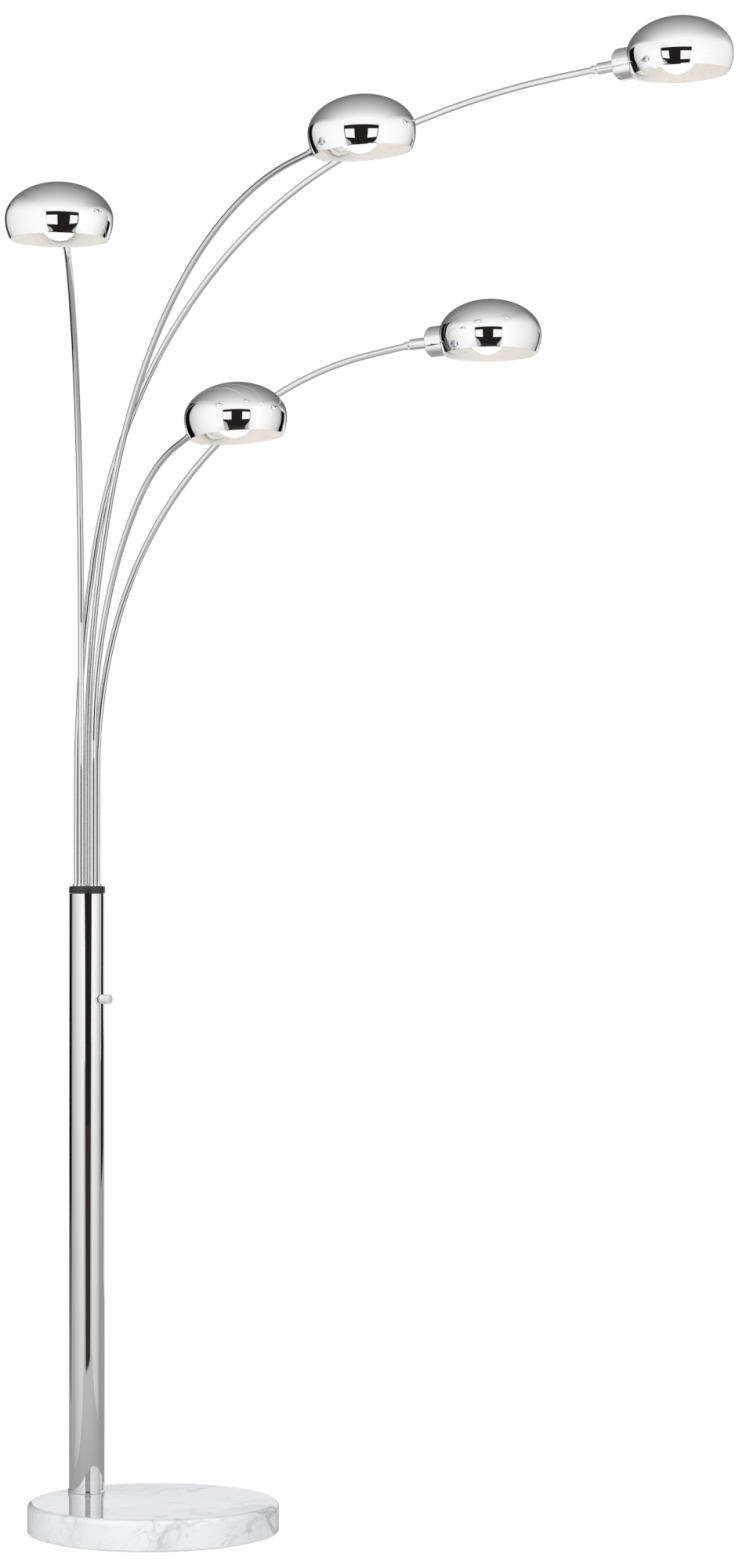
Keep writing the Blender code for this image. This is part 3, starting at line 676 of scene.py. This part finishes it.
def make_lamp(frame):
    """Replace the visible CAD nodes by finer pieces, and give the hidden ones a better material."""
    chrome = make_chrome("chrome")
    shade_chrome = make_chrome("shade_chrome", low=0.010, high=0.030)
    steel = make_steel()
    satin = make_satin()
    enamel = make_enamel()
    marble = make_marble()
    black = make_plastic("black_plastic", (0.022, 0.022, 0.024), 0.32, 900, 0.08)
    nylon = make_plastic("nylon", (0.72, 0.72, 0.69), 0.50, 500, 0.1)
    rubber = make_plastic("rubber", (0.018, 0.018, 0.018), 0.60, 1200, 0.2)
    holder_white = make_plastic("holder_white", (0.82, 0.80, 0.77), 0.35, 700, 0.05)
    nickel = make_chrome("nickel", (0.72, 0.70, 0.66), 0.15, 0.25)
    glass = make_bulb_glass()

    make_base(marble)
    make_pole(chrome, black)
    make_knob(satin)
    make_grommet(rubber)
    kept = {"floor_pad": make_felt(), "base_washer": steel, "base_bolt": steel, "pole_plug": steel,
            "arm_bearing_block": nylon, "dimmer_body": black, "dimmer_nut": steel, "terminal_block": nylon,
            "supply_lead": rubber}
    for name, material in kept.items():
        materials = frame["nodes"][name].data.materials
        materials.clear()
        materials.append(material)

    joints = {joint["name"]: joint for joint in frame["joints"]}
    for number, arm in enumerate(ARMS, start=1):
        foot = joints[f"arm_swivel_{number}"]["pos_m"]
        tilt = joints[f"head_tilt_{number}"]
        azimuth = atan2(tilt["axis"][0], -tilt["axis"][1])
        turn = Matrix.Rotation(azimuth, 4, "Z")
        make_arm(number, arm, Matrix.Translation((foot[0], foot[1], 0)) @ turn, chrome)
        pitch = Matrix.Rotation(radians(-arm["tilt"]), 4, "Y") @ Matrix.Rotation(radians(arm["roll"]), 4, "X")
        make_head(number, Matrix.Translation(tilt["pos_m"]) @ turn @ pitch, chrome, shade_chrome, enamel,
                  holder_white, glass, nickel)


# The studio -------------------------------------------------------------------------------------
# The chrome shows it. Places are in metres in the lamp's frame, levels are linear light with 1 as white.

WHITE = (1.0, 1.0, 1.0)

# Dark doorway in front of the lamp as (x, z), its foot as (x, distance towards the lamp, z)
DOORWAY_Y = -2.02
DOORWAY_OUTLINE = [(0.90, 0.0), (-0.25, 0.0), (-0.38, 0.42), (-0.44, 0.75), (-0.80, 1.02), (-0.80, 1.99),
                   (1.40, 1.99), (1.40, 1.02), (1.03, 0.42)]
DOORWAY_FOOT = [(0.75, 0.32, 0.0), (-0.21, 0.32, 0.0), (-0.38, 0.01, 0.42), (1.03, 0.01, 0.42)]
WINDOWS = {"window_left": (-0.695, -0.084), "window_right": (0.639, 1.265)}
WINDOW_LOW, WINDOW_HIGH = 1.083, 1.727

# White walls beside the lamp, each over a line on the floor
BOOTH_FRONT = -1.84
LEFT_WALL = (-0.63, BOOTH_FRONT), (-0.65, 0.15)
LEFT_WALL_END = (-1.27, 0.57)
LEFT_WALL_END_HEIGHT = 1.3
LEFT_WALL_END_LEVEL = 0.44
RIGHT_WALL = (1.20, BOOTH_FRONT), (1.0, 0.29)
WALL_FADES_FROM, WALL_HEIGHT = 1.8, 2.5
WALL_DIM_BELOW = 0.9
WALL_FOOT_SHARE = 0.64
ROOM_BACK = (-0.62, 3.0), (1.6, 3.0)
ROOM_BACK_HEIGHT = 1.1

MIRRORED_FLOOR_HEIGHT = 0.001
MIRRORED_FLOOR_REACH = 12

# Black flags: name, start, end, lower and upper edge
FLAGS = [("flag_left", LEFT_WALL_END, (-1.27, 2.2), 0, 2.6),
         ("flag_left_back", (-1.27, 2.2), (-0.62, 2.9), 0, 1.1),
         ("flag_right", (1.60, 0.58), (1.95, 2.10), 0.33, 1.9)]

# World: the ceiling darkens over this turn from front to back, the side walls lean in over it
CEILING_FROM, CEILING_TO = radians(30), radians(172)
CEILING_POWER = 1.45
CEILING_DARKEST, CEILING_SPAN = 0.13, 0.87
SIDE_LEAN = 1.2
LEFT_SIDE = (0.20, 0.60)
RIGHT_SIDE = (0.10, 0.60)
SIDE_LEVEL = 0.90

FLOOR_RADIUS = 30
BACKDROP_RADIUS = 29
BACKDROP_DEPTH = 80

SUN_STRENGTH = 1.3
SUN_ANGLE = radians(70)
SUN_TILT = radians(30)


def make_glow(name, colour):
    """Even glow, kept out of light sampling."""
    material = bpy.data.materials.new(name)
    material.use_nodes = True
    material.cycles.emission_sampling = "NONE"
    tree = material.node_tree
    tree.nodes.clear()
    emission = tree.nodes.new("ShaderNodeEmission")
    emission.inputs["Color"].default_value = (*colour, 1.0)
    output = tree.nodes.new("ShaderNodeOutputMaterial")
    tree.links.new(emission.outputs["Emission"], output.inputs["Surface"])
    return material


def split_position(tree):
    """Node whose outputs X, Y and Z are the place on the piece."""
    position = tree.nodes.new("ShaderNodeTexCoord")
    split = tree.nodes.new("ShaderNodeSeparateXYZ")
    tree.links.new(position.outputs["Object"], split.inputs["Vector"])
    return split


def make_wall_glow(name, back, peak, drop):
    """White glow for a booth wall: darker low down and towards its back end, see-through at the top."""
    material = make_glow(name, WHITE)
    tree = material.node_tree
    emission, output = tree.nodes["Emission"], tree.nodes["Material Output"]
    split = split_position(tree)
    depth = calculate(tree, "POWER", ranged(tree, split.outputs["Y"], BOOTH_FRONT, back, 0.0, 1.0), 4.0)
    level = calculate(tree, "SUBTRACT", 1.0, calculate(tree, "MULTIPLY", depth, drop))
    height = ranged(tree, split.outputs["Z"], 0.0, WALL_DIM_BELOW, WALL_FOOT_SHARE * peak, peak)
    tree.links.new(calculate(tree, "MULTIPLY", level, height), emission.inputs["Strength"])
    see_through = tree.nodes.new("ShaderNodeBsdfTransparent")
    mix = tree.nodes.new("ShaderNodeMixShader")
    fade = ranged(tree, split.outputs["Z"], WALL_FADES_FROM, WALL_HEIGHT, 0.0, 1.0, smooth=True)
    tree.links.new(fade, mix.inputs["Fac"])
    tree.links.new(emission.outputs["Emission"], mix.inputs[1])
    tree.links.new(see_through.outputs["BSDF"], mix.inputs[2])
    tree.links.new(mix.outputs["Shader"], output.inputs["Surface"])
    return material


def make_graded_glow(name, axis, ends, levels):
    """Neutral glow whose strength runs between two places on an axis."""
    material = make_glow(name, WHITE)
    tree = material.node_tree
    strength = ranged(tree, split_position(tree).outputs[axis], *ends, *levels)
    tree.links.new(strength, tree.nodes["Emission"].inputs["Strength"])
    return material


def add_panel(name, corners, material):
    """Flat panel that only mirrors see."""
    bm = bmesh.new()
    bm.faces.new([bm.verts.new(corner) for corner in corners])
    mesh = bpy.data.meshes.new(name)
    bm.to_mesh(mesh)
    bm.free()
    mesh.materials.append(material)
    panel = bpy.data.objects.new(name, mesh)
    bpy.context.scene.collection.objects.link(panel)
    panel.visible_camera = False
    panel.visible_diffuse = False
    panel.visible_transmission = False
    panel.visible_volume_scatter = False
    panel.visible_shadow = False


def add_wall(name, start, end, low, high, material):
    """Upright panel over the line from start to end."""
    add_panel(name, [(*start, low), (*end, low), (*end, high), (*start, high)], material)


def make_doorway():
    """Dark doorway between the lamp and the camera, with a bright window on each side of it."""
    dark = make_glow("doorway_dark", (0.017, 0.014, 0.013))
    brown = make_glow("doorway_brown", (0.036, 0.027, 0.023))
    bright = make_glow("window_light", WHITE)
    add_panel("doorway", [(x, DOORWAY_Y, z) for x, z in DOORWAY_OUTLINE], dark)
    add_panel("doorway_foot", [(x, DOORWAY_Y + ahead, z) for x, ahead, z in DOORWAY_FOOT], brown)
    front = DOORWAY_Y + 0.01
    for name, (near, far) in WINDOWS.items():
        add_wall(name, (near, front), (far, front), WINDOW_LOW, WINDOW_HIGH, bright)


def make_booth():
    """White walls beside the lamp, the grey floor under them and the white foot of the room's back wall."""
    left = make_wall_glow("booth_left", LEFT_WALL[1][1], peak=1.03, drop=0.50)
    right = make_wall_glow("booth_right", RIGHT_WALL[1][1], peak=1.06, drop=0.66)
    add_wall("booth_left", *LEFT_WALL, 0, WALL_HEIGHT, left)
    add_wall("booth_right", *RIGHT_WALL, 0, WALL_HEIGHT, right)
    dim = make_glow("booth_end", (LEFT_WALL_END_LEVEL,) * 3)
    add_wall("booth_left_end", LEFT_WALL[1], LEFT_WALL_END, 0, LEFT_WALL_END_HEIGHT, dim)
    add_wall("room_back", *ROOM_BACK, 0, ROOM_BACK_HEIGHT, make_glow("room_white", (0.88, 0.88, 0.90)))
    floor = make_graded_glow("booth_floor", "Y", ends=(-1.2, 0.3), levels=(0.50, 0.34))
    turns = ((-1, -1), (1, -1), (1, 1), (-1, 1))
    reach = MIRRORED_FLOOR_REACH
    add_panel("booth_floor", [(reach * x, reach * y, MIRRORED_FLOOR_HEIGHT) for x, y in turns], floor)


def make_flags():
    """Black flags beside and behind the lamp."""
    black = make_graded_glow("flag_black", "Z", ends=(0.0, 0.35), levels=(0.20, 0.003))
    for name, start, end, low, high in FLAGS:
        add_wall(name, start, end, low, high, black)


def make_world():
    """Soft studio: white walls at the sides and in front, a ceiling that darkens towards the back."""
    world = bpy.data.worlds.new("studio")
    bpy.context.scene.world = world
    world.use_nodes = True
    tree = world.node_tree
    tree.nodes.clear()
    coordinates = tree.nodes.new("ShaderNodeTexCoord")
    split = tree.nodes.new("ShaderNodeSeparateXYZ")
    tree.links.new(coordinates.outputs["Generated"], split.inputs["Vector"])
    x, y, z = (split.outputs[axis] for axis in "XYZ")
    over = calculate(tree, "ARCTAN2", z, calculate(tree, "MULTIPLY", y, -1.0))
    fall = ranged(tree, over, CEILING_FROM, CEILING_TO, 1.0, 0.0)
    ceiling = calculate(tree, "MULTIPLY", calculate(tree, "POWER", fall, CEILING_POWER), CEILING_SPAN)
    ceiling = calculate(tree, "ADD", ceiling, CEILING_DARKEST)
    lean = calculate(tree, "MULTIPLY", calculate(tree, "MAXIMUM", z, 0.0), SIDE_LEAN)
    left = calculate(tree, "SUBTRACT", calculate(tree, "MULTIPLY", x, -1.0), lean)
    right = calculate(tree, "SUBTRACT", x, lean)
    left_side = ranged(tree, left, *LEFT_SIDE, 0.0, 1.0, smooth=True)
    right_side = ranged(tree, right, *RIGHT_SIDE, 0.0, 1.0, smooth=True)
    side = calculate(tree, "MAXIMUM", left_side, right_side)
    lift = calculate(tree, "MULTIPLY", calculate(tree, "SUBTRACT", SIDE_LEVEL, ceiling), side)
    level = calculate(tree, "ADD", ceiling, lift)
    background = tree.nodes.new("ShaderNodeBackground")
    tree.links.new(level, background.inputs["Color"])
    output = tree.nodes.new("ShaderNodeOutputWorld")
    tree.links.new(background.outputs["Background"], output.inputs["Surface"])


def make_floor():
    """Shadowless white floor, and a white wall all round that only the camera sees."""
    white = make_glow("backdrop_white", WHITE)
    bm = bmesh.new()
    bmesh.ops.create_circle(bm, cap_ends=True, segments=96, radius=FLOOR_RADIUS)
    floor = add_mesh("floor", bm, [white])
    floor.visible_glossy = False

    bm = bmesh.new()
    bmesh.ops.create_cone(bm, segments=96, radius1=BACKDROP_RADIUS, radius2=BACKDROP_RADIUS,
                          depth=BACKDROP_DEPTH)
    wall = add_mesh("backdrop", bm, [white])
    wall.visible_diffuse = False
    wall.visible_glossy = False
    wall.visible_transmission = False
    wall.visible_shadow = False


def make_light():
    """Very broad even light from above, not seen in the chrome."""
    data = bpy.data.lights.new("overhead", "SUN")
    data.energy = SUN_STRENGTH
    data.angle = SUN_ANGLE
    light = bpy.data.objects.new("overhead", data)
    light.rotation_euler = (SUN_TILT, 0, 0)
    light.visible_glossy = False
    light.visible_camera = False
    bpy.context.scene.collection.objects.link(light)


def make_camera():
    """The photo's camera."""
    data = bpy.data.cameras.new("camera")
    data.lens = LENS_MM
    data.sensor_width = SENSOR_MM
    camera = bpy.data.objects.new("camera", data)
    camera.location = CAMERA_AT
    camera.rotation_euler = (pi / 2 + CAMERA_PITCH, 0, 0)
    bpy.context.scene.collection.objects.link(camera)
    bpy.context.scene.camera = camera


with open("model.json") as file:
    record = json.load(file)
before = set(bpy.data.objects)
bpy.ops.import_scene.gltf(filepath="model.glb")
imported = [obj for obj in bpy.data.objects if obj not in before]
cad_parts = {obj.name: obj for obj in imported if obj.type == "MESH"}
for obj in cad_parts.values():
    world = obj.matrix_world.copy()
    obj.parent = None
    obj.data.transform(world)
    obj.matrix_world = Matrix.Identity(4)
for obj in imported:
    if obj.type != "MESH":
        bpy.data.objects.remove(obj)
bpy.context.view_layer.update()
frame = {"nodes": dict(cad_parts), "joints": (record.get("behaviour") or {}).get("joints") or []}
bpy.context.scene.view_settings.view_transform = "Standard"
make_camera()
make_lamp(frame)
make_world()
make_doorway()
make_booth()
make_flags()
make_floor()
make_light()
